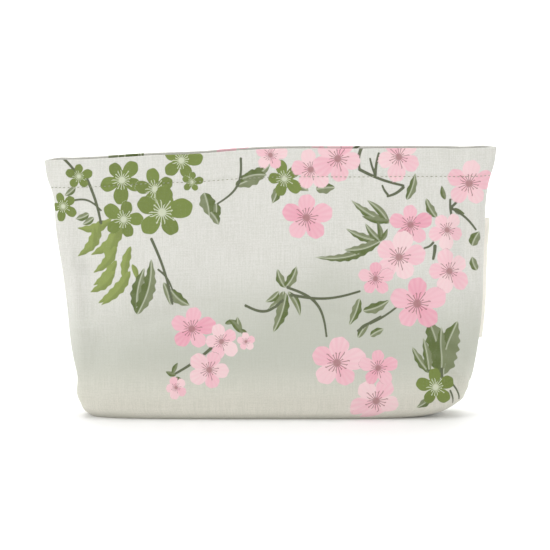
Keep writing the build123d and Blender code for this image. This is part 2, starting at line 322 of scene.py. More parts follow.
def stem(u, v, tip, width, bend):
    """Distance to a bent line of one width, from the origin to its tip."""
    length = np.hypot(*tip)
    share = (u * tip[0] + v * tip[1]) / length**2
    offset = (v * tip[0] - u * tip[1]) / length - bend * np.sin(np.pi * np.clip(share, 0, 1))
    past = np.abs(share - np.clip(share, 0, 1)) * length
    return np.hypot(offset, past) - width / 2 * (1.15 - 0.3 * np.clip(share, 0, 1))


# %% [markdown]
# ## Laying the motifs on the cloth
# A pattern keeps, for every point of the cloth, the distance to the nearest edge, the ink's colour there
# and the point's place in the nearest blossom. Later motifs lie over earlier ones. Each petal has its own
# tone, paler towards its rim, and each leaf has a darker half, as hand-cut screens give them.

# %% The pattern class


def linear(red, green, blue):
    """A colour given as shares of 255 on screen, as the light it stands for."""
    c = np.array([red, green, blue]) / 255
    return np.where(c < 0.04, c / 12.92, ((c + 0.055) / 1.055) ** 2.4)


PINK, PALE_PINK, DEEP_PINK = linear(229, 178, 190), linear(232, 204, 206), linear(221, 148, 168)
OLIVE, LIME, LEAF_GREEN = linear(114, 130, 62), linear(136, 150, 80), linear(86, 100, 50)
SAGE_INK, BARK = linear(122, 130, 98), linear(88, 94, 70)


class Pattern:
    """The print over an array of cloth points, given by their two lengths u and v in millimetres."""

    def __init__(self, u, v):
        self.u, self.v = u.ravel(), v.ravel()
        self.edge = np.full(self.u.shape, 9.0)
        self.ink = np.ones((len(self.u), 3)) * OLIVE
        self.bloom = np.zeros((len(self.u), 3)) + np.array([3.0, 3.0, 0.0])

    def around(self, place, reach):
        """The points within reach of a place, and where they are from it."""
        du, dv = self.u - place[0], self.v - place[1]
        near = np.flatnonzero((np.abs(du) < reach) & (np.abs(dv) < reach))
        return near, du[near], dv[near]

    def lay(self, near, distance, ink):
        """Ink the points inside a motif, and the ones outside that it is now the nearest to."""
        edge = self.edge[near]
        taken = (distance < 0.2) | ((distance < edge) & (edge > 0.2))
        self.ink[near[taken]] = ink[taken]
        self.edge[near] = np.minimum(edge, distance)
        return taken

    def add_blossom(self, place, radius, turn, waist, rim, heart, kind):
        """A blossom whose petals run from the rim's colour to the heart's, each a little different."""
        near, du, dv = self.around(place, radius * 1.3)
        distance = blossom(du, dv, radius, turn, waist)
        angle = np.arctan2(dv, du) - turn
        petal = np.round(angle / (2 * np.pi / 5)) % 5
        tone = 0.5 + 0.5 * np.sin(petal * 2.4 + turn * 7 + radius)
        out = np.hypot(du, dv) / radius
        crease = np.exp(-((np.cos(5 / 2 * angle) * out / 0.09) ** 2)) * (out > 0.12)
        depth = np.clip(0.75 * tone + 0.35 * (1 - out) + 0.22 * np.sin(angle * 23 + turn * 4) * out - 0.1, 0,
                        1)
        depth = np.clip(depth - 0.5 * crease, 0, 1)
        ink = rim + (heart - rim) * depth[:, None]
        taken = self.lay(near, distance, ink)
        local = np.stack([du, dv, np.full_like(du, kind)], axis=1) / np.array([radius, radius, 1.0])
        self.bloom[near[taken & (out < 1.1)]] = local[taken & (out < 1.1)]

    def add_leaf(self, place, tip, width, bend, light, dark, ribbed):
        """A leaf with one half darker than the other, and where it is ribbed a pale line along its middle."""
        near, du, dv = self.around(place, np.hypot(*tip) * 1.1 + width + 2)
        distance, share, offset = leaf(du, dv, tip, width, bend)
        dark_half = ease((offset / width + 0.08) / 0.2) * 0.8 + 0.2 * np.sin(share * 9) ** 2
        rib = np.exp(-((offset / 0.32) ** 2)) * (width > 3.4) * 0.75 * ribbed
        ink = light + (dark - light) * dark_half[:, None]
        ink = ink + (linear(206, 210, 190) - ink) * rib[:, None]
        taken = self.lay(near, distance, ink)
        self.bloom[near[taken & (distance < 0)]] = (3.0, 3.0, 0.0)

    def add_stem(self, place, tip, width, bend):
        """A stem that gets a little thinner towards its tip."""
        near, du, dv = self.around(place, np.hypot(*tip) + abs(bend) + 3)
        distance = stem(du, dv, tip, width, bend)
        taken = self.lay(near, distance, np.broadcast_to(BARK, (len(near), 3)))
        self.bloom[near[taken & (distance < 0)]] = (3.0, 3.0, 0.0)


# %% [markdown]
# ## Where the motifs are
# Each list is one kind of motif, in the order in which they are printed. A place is across and up the cloth
# from the middle of the pouch's foot, and a leaf or a stem gives the way to its tip.

# %% The sprays
GREEN_BLOSSOMS = [  # place, radius, turn
    ((-110, 137), 7, 0.3), ((-85, 135), 11.5, 0.9), ((-51, 146), 10.5, 0.1), ((-66, 130), 11, 0.5),
    ((-84, 113), 10.5, 1.3), ((-62, 117), 14.5, 0.2), ((-119, 120), 7.5, 0.7), ((-45, 134), 5.5, 0.2),
    ((8, 136), 9.5, 0.6), ((94.5, 19), 10.5, 0.4),
]
PINK_BLOSSOMS = [  # place, radius, turn, waist, how deep the pink is
    ((0, 149), 8.5, 0.2, 0.55, 0.1), ((23, 141), 11, 0.5, 0.6, 0.2), ((38.5, 147), 13, 1.1, 0.62, 0.4),
    ((20.5, 114), 13.5, 0.3, 0.5, 0.8), ((73.5, 148), 12, 0.8, 0.6, 0.1), ((114, 133), 13, 0.2, 0.55, 0.2),
    ((80, 110), 11.5, 0.33, 0.42, 0.85), ((101, 107), 10, 0.9, 0.6, 0.0), ((73.5, 92), 13.5, 0.1, 0.66, 0.0),
    ((60, 80), 9.5, 0.33, 0.45, 0.6), ((102, 84), 12, 0.6, 0.6, 0.1), ((84, 66), 15, 0.33, 0.5, 0.75),
    ((38, 33), 14.5, 0.2, 0.6, 0.35), ((60.5, 11.5), 13.5, 1.0, 0.62, 0.05),
    ((61.5, 30), 10.5, 0.33, 0.42, 0.65),
    ((-45, 52), 12, 0.2, 0.5, 0.85), ((-28, 45), 9.5, 0.6, 0.6, 0.0), ((-35, 29), 11, 1.2, 0.62, 0.1),
    ((-54, 19), 6, 0.7, 0.7, 0.15), ((-14, 45), 5, 0.4, 0.7, 0.0),
]
LEAVES = [  # base, tip from the base, width, bend, 1 for a lime leaf
    ((8.5, 75), (-4.5, 10.5), 4.6, 0.8, 0), ((8.5, 75), (6.5, 12), 5.2, -0.9, 0),
    ((8, 73), (-9.5, -10), 4.6, 1.6, 0),
    ((7.5, 73), (-3, -13), 5.6, 0.6, 0), ((9, 72), (-7.5, -22), 6.5, 1.2, 0),
    ((10, 73), (7, -14), 4.0, 1.6, 0),
    ((5, 73), (-8, -6), 3.6, 1.0, 0), ((51, 69), (-6, -15), 5.2, 0.8, 0), ((53, 62), (15, 6), 5.6, -1.0, 0),
    ((50, 47), (7, 9), 4.0, 0.6, 0), ((57, 48), (8, 4), 4.2, 0.4, 0), ((-26, 55), (7, 1.5), 2.6, 0.3, 0),
    ((-17, 50), (-2, 9), 3.8, 0.4, 0), ((-17, 50), (-6.5, 7.5), 3.2, -0.4, 0),
    ((-17, 52), (4, -5), 3.0, 0.3, 0),
    ((-54, 26), (-6, 2), 2.8, 0.4, 0), ((-54, 25), (5, -4), 2.8, -0.3, 0), ((-56, 27), (3, 6), 2.6, 0.3, 0),
    ((68, 111), (-22, 13), 4.6, 1.6, 0), ((68, 111), (-13, 13), 4.0, -1.0, 0),
    ((68, 112), (-16, 3), 3.4, 0.9, 0),
    ((63, 101), (-20, 7), 4.4, 1.4, 0), ((63, 101), (-38, -9), 4.8, 4.2, 0),
    ((63, 101), (-21, -5), 5.4, 1.8, 0),
    ((63, 101), (-9, 10), 3.6, 0.8, 0), ((63, 101), (-2, 11), 3.2, -0.8, 0),
    ((63, 101), (4, 7), 2.6, -0.5, 0),
    ((78, 124), (5, 15), 4.8, -0.8, 0), ((95, 114), (-6, 11), 4.6, 0.8, 0), ((116, 98), (4, 8), 6.0, 0.5, 0),
    ((119, 84), (-3, 8), 4.6, 0.6, 0), ((100, 124), (-2, 8), 3.0, 0.4, 0), ((104, 124), (4, 7), 2.8, -0.4, 0),
    ((105, 119), (7, -3), 3.0, -0.4, 0), ((98, 26), (-8, 32), 12.5, -2.0, 0),
    ((99, 26), (8, 30), 13.5, 1.6, 0),
    ((98, 28), (0, 25), 5.6, 0.0, 0), ((91, 27), (-10, 15), 4.6, 0.7, 0),
    ((91, 27), (-3.5, 20), 4.4, -0.4, 0),
    ((92, 14), (-8, -7), 5.0, 0.8, 0), ((-31, 122), (-1, -9), 5.5, 0.6, 0),
    ((-38, 128), (3, -13), 8.5, 0.6, 0),
    ((-34, 117), (4.5, -7), 5.0, 0.5, 0), ((-20, 132), (20, 12), 8.0, -1.4, 0),
    ((-16, 136), (14, 2), 6.0, 1.0, 0),
    ((4, 131), (-3, -9), 5.0, 0.6, 0), ((13, 133), (9, -4), 4.2, 0.5, 0), ((26, 130), (11, 1), 6.6, 0.4, 0),
    ((-104, 116), (-8, -3), 4.2, 0.5, 0), ((-101, 114), (-7, -4), 3.6, 0.4, 0),
    ((-112, 131), (-6, -5), 3.6, 0.4, 0),
    ((-91, 113), (-20, -5), 5.4, 2.6, 1), ((-98, 112), (-13, -20), 6.4, 3.4, 1),
    ((-84, 110), (-19, -17), 6.6, 2.8, 1),
    ((-86, 109), (-7, -24), 7.0, -2.2, 1), ((-88, 98), (-14, -15), 5.4, 2.0, 1),
    ((-88, 90), (-14, -14), 5.6, 2.0, 1),
    ((-89, 84), (-15, -12), 5.4, 1.8, 1), ((-80, 98), (-3, -22), 5.0, -1.6, 1),
    ((-80, 84), (-19, -18), 6.2, 2.4, 1),
    ((-83, 79), (-14, -14), 4.4, 1.2, 1), ((-79, 88), (3, -9), 3.2, 0.6, 1),
    ((-101, 109), (-2, -14), 3.2, 0.6, 1),
    ((-76, 60), (4, 26), 7.4, 1.8, 0), ((-76, 60), (8, 31), 7.6, -2.6, 0), ((-61, 78), (4, -13), 3.6, 0.5, 0),
    ((-57, 74), (11, -9), 5.8, -1.2, 0), ((-95, 157), (26, 3), 5.0, 1.0, 0), ((97, 156), (8, 3), 4.0, 0.4, 0),
]
STEMS = [  # start, way to the tip, width, bend
    ((-121, 149), (11, -12), 1.4, 0.6), ((-115, 123), (18, -5), 1.1, 3.2), ((-105, 135), (8, -24), 1.5, 0.9),
    ((-68, 102), (12, -36), 1.4, 1.4), ((-64, 85), (8, -11), 1.0, 1.2), ((-53, 157), (-2, -14), 1.2, -0.7),
    ((-17, 147), (-13, -25), 1.3, 5.2), ((10, 75), (22, -27), 1.5, 7.0), ((12, 71), (39, 2), 1.4, -3.0),
    ((-14, 65), (21, 3), 1.5, -4.6), ((-33, 42), (-21, -15), 1.5, 0.8), ((-30, 37), (0.5, 6), 1.6, 0.0),
    ((53, 155), (-2, -14), 1.7, -1.4), ((51, 141), (25, -9), 1.5, -1.0), ((76, 131), (-9, -5), 1.5, 0.8),
    ((67, 127), (-3, 5), 1.2, 0.3), ((60, 138), (2, 12), 1.4, 0.4), ((60, 138), (-3, 9), 1.2, 0.3),
    ((71, 136), (0, 10), 1.6, 0.2), ((50, 51), (13, 8), 1.1, 0.3), ((57, 55), (15, 9), 1.2, -0.6),
    ((104, 114), (-1, 10), 1.4, 0.4), ((104, 120), (11, 12), 1.3, -0.6), ((104, 119), (14, -12), 1.2, 1.6),
    ((94, 98), (-1, -7), 1.7, 0.2), ((93, 100), (-5, -3), 1.2, 0.6), ((98, 29), (0, -11), 1.3, 0.3),
    ((103, 22), (6, -10), 1.0, 0.8), ((103, 17), (3, -8), 0.9, 0.3), ((91, 28), (6, -6), 1.4, 0.4),
    ((90, 1), (5, 1.5), 1.6, 0.3),
]
REPEAT = 172.0  # the print starts again this far up the cloth


def printed(u, v):
    """The whole print at the cloth points u, v: leaves, stems, green blossoms and then pink blossoms."""
    level = (v + rim_drop(u) * ease((v - 60) / 85)) / 1.016
    pattern = Pattern(u, (level + 4) % REPEAT - 4)
    for base, tip, width, bend, lime in LEAVES:
        pattern.add_leaf(base, tip, width, bend, LIME if lime else SAGE_INK,
                         LIME * 0.8 if lime else LEAF_GREEN,
                         not lime)
    for start, tip, width, bend in STEMS:
        pattern.add_stem(start, tip, width, bend)
    for place, radius, turn in GREEN_BLOSSOMS:
        pattern.add_blossom(place, radius * 1.06, turn, 0.22, OLIVE, OLIVE * 0.84, 2.0)
    for place, radius, turn, waist, deep in PINK_BLOSSOMS:
        rim = PALE_PINK + (PINK - PALE_PINK) * deep
        pattern.add_blossom(place, radius * 1.03, turn, waist * 0.85, rim, PINK + (DEEP_PINK - PINK) * deep,
                            1.0)
    return pattern


def print_on(piece, u, v):
    """Carry the print onto a piece as three attributes: the edge distance, the ink and the place in a
    blossom."""
    pattern = printed(u, v)
    write_attribute(piece.data, "print_edge", pattern.edge)
    write_attribute(piece.data, "print_ink", np.concatenate([pattern.ink, np.ones((len(pattern.ink), 1))],
                                                            axis=1))
    write_attribute(piece.data, "bloom", pattern.bloom)


print(len(PINK_BLOSSOMS), "pink and", len(GREEN_BLOSSOMS), "green blossoms,", len(LEAVES), "leaves")

# %% [markdown]
# ## Shader maths as expressions
# A node tree is hard to read as a list of links. A small class that wraps one socket lets a material be
# written as the formula that it is: adding two values adds a Math node. One method makes every other kind
# of node.

# %% The shader class


class Shade:
    """One socket of a material, with the operators that the finishes below use."""

    def __init__(self, tree, socket=None):
        self.tree, self.socket = tree, socket

    def node(self, kind, settings=(), inputs=(), out=0):
        """Add a node, set it, give its sockets their values or links, and return one of its outputs."""
        made = self.tree.nodes.new(kind)
        for name, value in dict(settings).items():
            setattr(made, name, value)
        for name, value in dict(inputs).items():
            if isinstance(value, Shade):
                self.tree.links.new(value.socket, made.inputs[name])
            else:
                made.inputs[name].default_value = value
        return Shade(self.tree, made.outputs[out])

    def maths(self, operation, *values, clamp=False):
        return self.node("ShaderNodeMath", {"operation": operation, "use_clamp": clamp},
                         dict(enumerate(values)))

    def __add__(self, other):
        return self.maths("ADD", self, other)

    def __sub__(self, other):
        return self.maths("SUBTRACT", self, other)

    def __rsub__(self, other):
        return self.maths("SUBTRACT", other, self)

    def __mul__(self, other):
        return self.maths("MULTIPLY", self, other)

    def __truediv__(self, other):
        return self.maths("DIVIDE", self, other)

    def __lt__(self, other):
        return self.maths("LESS_THAN", self, other)

    __radd__, __rmul__ = __add__, __mul__

    def sine(self):
        return self.maths("SINE", self)

    def root(self):
        return self.maths("SQRT", self)

    def part(self):
        """What is left after the whole number."""
        return self.maths("FRACT", self)

    def angle_over(self, other):
        return self.maths("ARCTAN2", self, other)

    def most(self, other):
        return self.maths("MAXIMUM", self, other)

    def size(self):
        return self.maths("ABSOLUTE", self)

    def step(self, low, high):
        """0 at low, 1 at high and smooth between."""
        return self.node("ShaderNodeMapRange", {"interpolation_type": "SMOOTHSTEP"},
                         {0: self, 1: low, 2: high})

    def split(self):
        """The three parts of a vector."""
        made = self.node("ShaderNodeSeparateXYZ", inputs={0: self})
        return [Shade(self.tree, output) for output in made.socket.node.outputs]

    def mixed(self, first, second):
        """A colour between two, with this value as the share of the second."""
        colours = {6: first, 7: second}
        return self.node("ShaderNodeMix", {"data_type": "RGBA"}, {0: self, **colours}, out=2)

    def noise(self, scale, detail=3.0, rough=0.55, place=None):
        """Cloudy noise at this place."""
        return self.node("ShaderNodeTexNoise",
                         inputs={"Vector": place or self, "Scale": scale, "Detail": detail,
                                                        "Roughness": rough})

    def stretched(self, across, along):
        """This place, scaled by two factors."""
        return self.node("ShaderNodeMapping", inputs={"Vector": self, "Scale": (across, along, 1.0)})


def rgba(colour):
    """A colour as the four numbers that a socket takes."""
    return (*[float(c) for c in colour], 1.0)


def new_material(name, **constants):
    """A material whose Principled shader has its constant values on its own sockets."""
    made = bpy.data.materials.new(name)
    made.use_nodes = True
    shader = made.node_tree.nodes["Principled BSDF"]
    for socket, value in constants.items():
        shader.inputs[socket.replace("_", " ")].default_value = value
    return made, shader, Shade(made.node_tree)


def finish_with(tree, shader, colour, roughness=None, bump=None, strength=0.3, distance=0.0002):
    """Link the worked-out colour, roughness and relief to the shader."""
    tree.links.new(colour.socket, shader.inputs["Base Color"])
    if roughness is not None:
        tree.links.new(roughness.socket, shader.inputs["Roughness"])
    if bump is not None:
        normal = bump.node("ShaderNodeBump", inputs={"Height": bump, "Strength": strength,
                                                     "Distance": distance})
        tree.links.new(normal.socket, shader.inputs["Normal"])


# %% [markdown]
# ## Plain weave
# Cotton for a pouch has about twenty threads to a centimetre. Each thread goes over and under its
# neighbours, and none is quite even, so a good weave is a small checkered wave for the relief, with long
# thin streaks of noise along both directions for the colour.

# %% The weave
THREAD = 0.00048  # metres from thread to thread


def weave(start, thread=THREAD):
    """Relief and tone of a plain weave on the cloth's own lengths: over-and-under waves and uneven
    threads."""
    place = start.node("ShaderNodeUVMap", {"uv_map": "cloth"})
    across, along, _ = place.split()
    a, b = across * (np.pi / thread), along * (np.pi / thread)
    over = (a * 2).sine() * (b * 2).sine()
    ridge = (a.sine().size() + b.sine().size()) * 0.5
    warp = place.stretched(1 / thread, 70).noise(1.0, 2.0)
    weft = place.stretched(70, 1 / thread).noise(1.0, 2.0)
    tone = warp * 0.36 + weft * 0.26 + place.noise(1100.0, 3.0) * 0.38
    return ridge * 0.6 + over * 0.25 + tone * 0.5, tone, place


# %% The printed cotton
STAMENS = 17


def printed_cotton(name="printed_cotton"):
    """Pale cotton whose ink is masked by the print's edge distance, with stamens worked out from each
    blossom."""
    material, shader, start = new_material(name, Roughness=0.9, Sheen_Weight=0.08, Sheen_Roughness=0.5,
                                           Specular_IOR_Level=0.2)
    relief_height, tone, _ = weave(start)
    where = start.node("ShaderNodeTexCoord", out=3)
    cloud = where.noise(14.0, 3.0)
    wide, _, height = where.split()
    # Painted light and shade on the ground: a paler grey-sage high up and out to the sides, and a darker
    # grey-green painted shade low in the middle, mixed by cloudy noise; near the foot it turns a warmer beige.
    painted_lit_sage, warm, green = linear(215, 214, 209), linear(214, 211, 200), linear(188, 190, 180)
    share = (cloud * 0.8 - height * 20.0 - (wide - 0.03).size() * 5.0 + 1.75).step(-0.1, 1.0)
    ground_with_painted_shade = share.mixed(rgba(painted_lit_sage), rgba(green))
    ground_with_painted_shade = height.step(0.040, 0.003).mixed(ground_with_painted_shade, rgba(warm))
    dark_thread = (tone.step(0.40, 0.60) * 0.34).mixed(ground_with_painted_shade, rgba(linear(176, 178, 164)))
    edge = start.node("ShaderNodeAttribute", {"attribute_name": "print_edge"}, out=2)
    ink = start.node("ShaderNodeAttribute", {"attribute_name": "print_ink"}, out=0)
    bloom = start.node("ShaderNodeAttribute", {"attribute_name": "bloom"}, out=1)
    rough_edge = edge + (tone - 0.5) * 0.35
    inked = rough_edge.step(0.22, -0.16) * (0.97 - tone.step(0.5, 0.75) * 0.16)
    colour = inked.mixed(dark_thread, ink)
    x, y, kind = bloom.split()
    out = (x * x + y * y).root()
    angle = y.angle_over(x)
    reach = (angle * 5 + kind * 2).sine() * 0.08 + (angle * 8).sine() * 0.07 + 0.38
    spoke = (angle * (STAMENS / (2 * np.pi))).part()
    aside = (spoke - 0.5).size() * out * (2 * np.pi / STAMENS)
    thread_mask = aside.step(0.026, 0.008) * (out < reach)
    dots = ((out - reach).size() + aside).step(0.055, 0.025)
    disc = out.step(0.19, 0.11)
    pink_bloom = (kind - 1.0).size() < 0.3
    green_bloom = (kind - 2.0).size() < 0.3
    stamens = thread_mask.most(dots).most(disc)
    colour = (stamens * pink_bloom * 0.8 * inked).mixed(colour, rgba(linear(146, 104, 102)))
    colour = (stamens * green_bloom * 0.78 * inked).mixed(colour, rgba(linear(216, 220, 200)))
    finish_with(material.node_tree, shader, colour, bump=relief_height, strength=0.35, distance=0.00018)
    return material


print("thread pitch", THREAD, "m")


# %% [markdown]
# ## The outer cloth
# Each quarter of the outer cloth is one sheet. It rises from the fold at the base to the rim, turns over in
# a tight half circle and goes down inside as the hem, so that the rim is a real fold with two thicknesses.
# The grid is half a millimetre fine, because it carries the print.

# %% The outer cloth and its hem


def cloth_rows():
    """Heights, insets and lengths along the cloth, up the wall, over the rim and down to the hem's raw
    edge."""
    bend = hem_thick / 2
    turn = np.linspace(0, np.pi, 9)[1:-1]
    up = np.linspace(fold_height, rim_height - bend, int((rim_height - fold_height) / GRAIN))
    down = np.linspace(rim_height - bend, hem_low, int((rim_height - hem_low) / (2 * GRAIN)))
    heights = np.concatenate([up, rim_height - bend + bend * np.sin(turn), down])
    insets = np.concatenate([np.zeros_like(up), bend - bend * np.cos(turn), np.full_like(down, hem_thick)])
    along = fold_height + np.concatenate([[0], np.cumsum(np.hypot(np.diff(heights), np.diff(insets)))])
    return heights, insets, along


GRAIN = 0.5  # millimetres between the points that carry the print
cotton = printed_cotton()
heights, insets, along = cloth_rows()
for face_name, face in FACES.items():
    for side_name, side in SIDES.items():
        shares = np.linspace(0, 1, 280)
        points, u = wall_points(shares, heights, insets, side, face)
        v = np.broadcast_to(along[:, None], u.shape)
        piece = grid_piece(f"{face_name}_cloth_{side_name}", points, u, v, flip=side * face > 0)
        print_on(piece, u if face < 0 else 14 - u, v if face < 0 else v + 61)
        fix_to(piece, f"{face_name}_wall", cotton, "printed_cotton", f"{face_name}_cloth")
        print(piece.name, len(piece.data.polygons), "quads")

# %% [markdown]
# ## The base
# The base is the middle of the same cut of cloth. It leaves the folds of the walls, rounds under the pouch
# and lies flat. Its rings are the pouch's own outline, drawn in towards the middle.

# %% The base cloth, its padding and its lining


def ring(height, inset):
    """The whole outline at one height, as x and y, moved in by the inset."""
    shares = np.linspace(0, 1, 121)
    quarters = []
    for side, face, order in ((1, -1, 1), (1, 1, -1), (-1, 1, 1), (-1, -1, -1)):
        points, _ = wall_points(shares, np.array([height]), np.array([inset]), side, face)
        quarters.append(points[0, ::order, :2][:-1])
    whole = np.concatenate(quarters)
    return np.concatenate([whole, whole[:1]])


def base_sheet(name, inset, material, slot, *nodes, inked=False):
    """Rings from the folds down to the base, then the last one drawn in to its middle.

    u is the run round the fold from the middle of its own long edge, and v falls from the fold by the path down,
    so the weave and the print go on from the walls.
    """
    levels = np.array([fold_height, 4.6, 3.0, 1.6, 0.6, 0.0])
    rings = [ring(max(level, 0.01), inset) for level in levels]
    heights = list(np.maximum(levels, inset))
    for share in (0.96, 0.85, 0.7, 0.5, 0.25, 0.0):
        rings.append(rings[len(levels) - 1] * share)
        heights.append(inset)
    flat = np.array(rings)
    z = np.broadcast_to(np.array(heights)[:, None], flat.shape[:2])
    points = np.concatenate([flat, z[..., None]], axis=-1)
    down = np.linalg.norm(np.diff(points, axis=0), axis=-1)
    v = fold_height - np.concatenate([np.zeros((1, points.shape[1])), np.cumsum(down, axis=0)])
    run = np.concatenate([[0], np.cumsum(np.linalg.norm(np.diff(points[0], axis=0), axis=1))])
    x, y = points[0, :, 0], points[0, :, 1]
    behind_middle = run[len(run) // 2]
    reach = np.where(y < 0, np.minimum(run, run[-1] - run), np.abs(run - behind_middle))
    u = np.broadcast_to(np.sign(x) * reach, v.shape)
    piece = grid_piece(name, points, u, v, flip=True)
    if inked:
        behind = points[..., 1] > 0
        print_on(piece, np.where(behind, 14 - u, u), np.where(behind, v + 61, v))
    work = bmesh.new()
    work.from_mesh(piece.data)
    bmesh.ops.remove_doubles(work, verts=work.verts, dist=0.00002)
    work.to_mesh(piece.data)
    work.free()
    fix_to(piece, "base", material, slot, *nodes)
    return piece


base = base_sheet("base_cloth_whole", 0.0, cotton, "printed_cotton", "base_cloth", inked=True)
print(base.name, len(base.data.polygons), "faces")

# %% [markdown]
# ## Padding and lining
# Under the printed cotton lies a fused fleece, which gives the pouch its body, and inside that hangs a
# plain cotton lining. Both follow the outer cloth at their own depth. They are seen only when the mouth is
# open.

# %% Simple cloth finishes


def plain_cloth(name, colour, shadow, thread, strength=0.4):
    """A plain woven cloth of one colour, darker between its threads and a little cloudy."""
    material, shader, start = new_material(name, Roughness=0.88, Sheen_Weight=0.2, Specular_IOR_Level=0.2)
    relief_height, tone, _ = weave(start, thread)
    cloud = start.node("ShaderNodeTexCoord", out=3).noise(30.0, 3.0)
    share = (tone.step(0.35, 0.7) * 0.6 + cloud.step(0.3, 0.7) * 0.4)
    finish_with(material.node_tree, shader, share.mixed(rgba(colour), rgba(shadow)), bump=relief_height,
                strength=strength, distance=0.0002)
    return material


lining_cotton = plain_cloth("lining_cotton", linear(232, 226, 208), linear(214, 206, 186), 0.0004)


def fleece_finish():
    """White bonded fibres: two scales of noise for the tone and for the relief, with no weave."""
    material, shader, start = new_material("fleece", Roughness=0.95, Sheen_Weight=0.4)
    where = start.node("ShaderNodeTexCoord", out=3)
    fibres = where.noise(900.0, 4.0, 0.7)
    share = fibres.step(0.35, 0.65) * 0.7 + where.noise(60.0) * 0.3
    finish_with(material.node_tree, shader, share.mixed(rgba(linear(244, 244, 240)),
                                                        rgba(linear(222, 222, 216))),
                bump=fibres, strength=0.5, distance=0.0003)
    return material


fleece = fleece_finish()

# %% Padding and lining sheets


def inner_wall(name, low, high, inset, side, face, last_share, material, slot, node):
    """One quarter of an inner layer between two heights, at a steady inset from the outer cloth."""
    rows = np.linspace(low, high, int((high - low) / 1.5))
    shares = np.linspace(0, last_share, 110)
    points, u = wall_points(shares, rows, np.full_like(rows, inset), side, face)
    v = np.broadcast_to(rows[:, None], u.shape)
    piece = grid_piece(name, points, u, v, flip=side * face > 0)
    fix_to(piece, node.split("_")[0] + "_wall", material, slot, node)
    return piece


padding_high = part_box("front_padding")[1].z / MM
LINING_DROP = 3.8  # the rim's rise at the right, and a little clearance under the slider
lining_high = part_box("slider_body")[0].z / MM - LINING_DROP
for face_name, face in FACES.items():
    for side_name, side in SIDES.items():
        pad = inner_wall(f"{face_name}_padding_{side_name}", fold_height, padding_high, padding_inset + 0.5,
                         side, face,
                         0.97, fleece, "fleece", f"{face_name}_padding")
        inner = inner_wall(f"{face_name}_lining_{side_name}", fold_height, lining_high, lining_inset, side,
                           face, 1.0,
                           lining_cotton, "lining_cotton", f"{face_name}_lining")
        inner.data.flip_normals()
        print(pad.name, inner.name)

base_pad = base_sheet("base_padding_whole", padding_inset + 0.4, fleece, "fleece", "base_padding")
base_bag = base_sheet("base_lining_whole", lining_inset, lining_cotton, "lining_cotton", "base_lining")

# %% [markdown]
# ## Seam allowances
# Inside each side seam, the cut edges of the walls are pressed flat, and another short seam crosses each
# boxed corner. They are narrow double strips between the outer cloth and the lining.

# %% Side and corner seams


def strip_piece(name, centre, half, thick_along, body, material, slot, node):
    """A flat closed strip: eight points round each place of its centre line, at half its width and
    thickness."""
    turn = np.linspace(0, 2 * np.pi, 9)
    wide, thick = half
    y = wide * np.sign(np.cos(turn)) * np.abs(np.cos(turn)) ** 0.5
    out = thick * np.sin(turn)
    points = centre[:, None, :] + y[None, :, None] * np.array([0, 1, 0]) + out[None, :, None] * thick_along
    across = np.broadcast_to(np.linspace(0, 4 * wide, 9), points.shape[:2])
    length = np.broadcast_to(np.linspace(0, np.ptp(centre[:, 2]) + 1, len(centre))[:, None], points.shape[:2])
    piece = grid_piece(name, points, across, length)
    fix_to(piece, body, material, slot, node)
    return piece


for side_name, side in SIDES.items():
    rows = np.linspace(fold_height + 1, padding_high, 60)
    edge, _ = wall_points(np.array([0.9, 1.0]), rows, np.full_like(rows, 1.45), side, -1)
    strip_piece(f"{side_name}_side_seam_strip", edge[:, 1], (1.6, 0.35), np.array([1.0, 0, 0]), "base",
                cotton,
                "printed_cotton", f"{side_name}_side_seam")
    foot = float((left_half if side < 0 else right_half)(1.5))
    x = side * np.linspace(foot - 10, foot - 6, 8)
    floor_line = np.stack([x, np.zeros(8), np.full(8, 1.5)], axis=1)
    strip_piece(f"{side_name}_corner_seam_strip", floor_line, (9.0, 0.5), np.array([0, 0, 1.0]), "base",
                cotton,
                "printed_cotton", f"{side_name}_corner_seam")
print("side and corner seams")

# %% [markdown]
# ## Topstitching
# A lockstitch shows as a row of short threads with a gap between them, each one arched over the cloth and
# pulled into it at both ends. One small arched bead is worked out once and set down along the stitching
# line by arrays.

# %% Rows of stitches


def beads(name, centres, along_it, outward, length, radius, dip):
    """Arched beads at many places: rings whose radius is the square root of 1 - s squared, sunk by dip at
    both ends."""
    s = np.sin(np.linspace(-np.pi / 2, np.pi / 2, 7))
    turn = np.linspace(0, 2 * np.pi, 7)[:-1]
    thick = radius * np.sqrt(np.clip(1.02 - s**2, 0, 1))
    run = np.broadcast_to((length / 2 * s)[:, None], (7, 6))
    rise = thick[:, None] * np.sin(turn) - dip * s[:, None] ** 2
    wide = thick[:, None] * np.cos(turn)
    third = np.cross(along_it, outward)
    shape = [run[..., None, None], rise[..., None, None], wide[..., None, None]]
    points = centres + shape[0] * along_it + shape[1] * outward + shape[2] * third
    points = points.transpose(2, 0, 1, 3).reshape(-1, 3)
    ring_of, spot = np.meshgrid(np.arange(6), np.arange(6), indexing="ij")
    after = (spot + 1) % 6
    quads = np.stack([ring_of * 6 + spot, ring_of * 6 + after, (ring_of + 1) * 6 + after,
                      (ring_of + 1) * 6 + spot], -1)
    quads = (quads.reshape(1, -1, 4) + (np.arange(len(centres)) * 42)[:, None, None]).reshape(-1, 4)
    mesh = bpy.data.meshes.new(name)
    mesh.from_pydata(points * MM, [], quads[:, ::-1].tolist())
    mesh.shade_smooth()
    piece = bpy.data.objects.new(name, mesh)
    bpy.context.scene.collection.objects.link(piece)
    return piece


def thread_finish(name, colour, shadow, twist=0.00035):
    """Twisted thread: slanting dark lines from a wave across x and z, over a cloudy tone."""
    material, shader, start = new_material(name, Roughness=0.6, Sheen_Weight=0.3)
    where = start.node("ShaderNodeTexCoord", out=3)
    x, _, z = where.split()
    ply = ((x + z * 1.5) * (2 * np.pi / twist)).sine() * 0.5 + 0.5
    finish_with(material.node_tree, shader, (ply * 0.6 + where.noise(200.0) * 0.4).mixed(rgba(colour),
                                                                                         rgba(shadow)),
                bump=ply, strength=0.4, distance=0.0001)
    return material


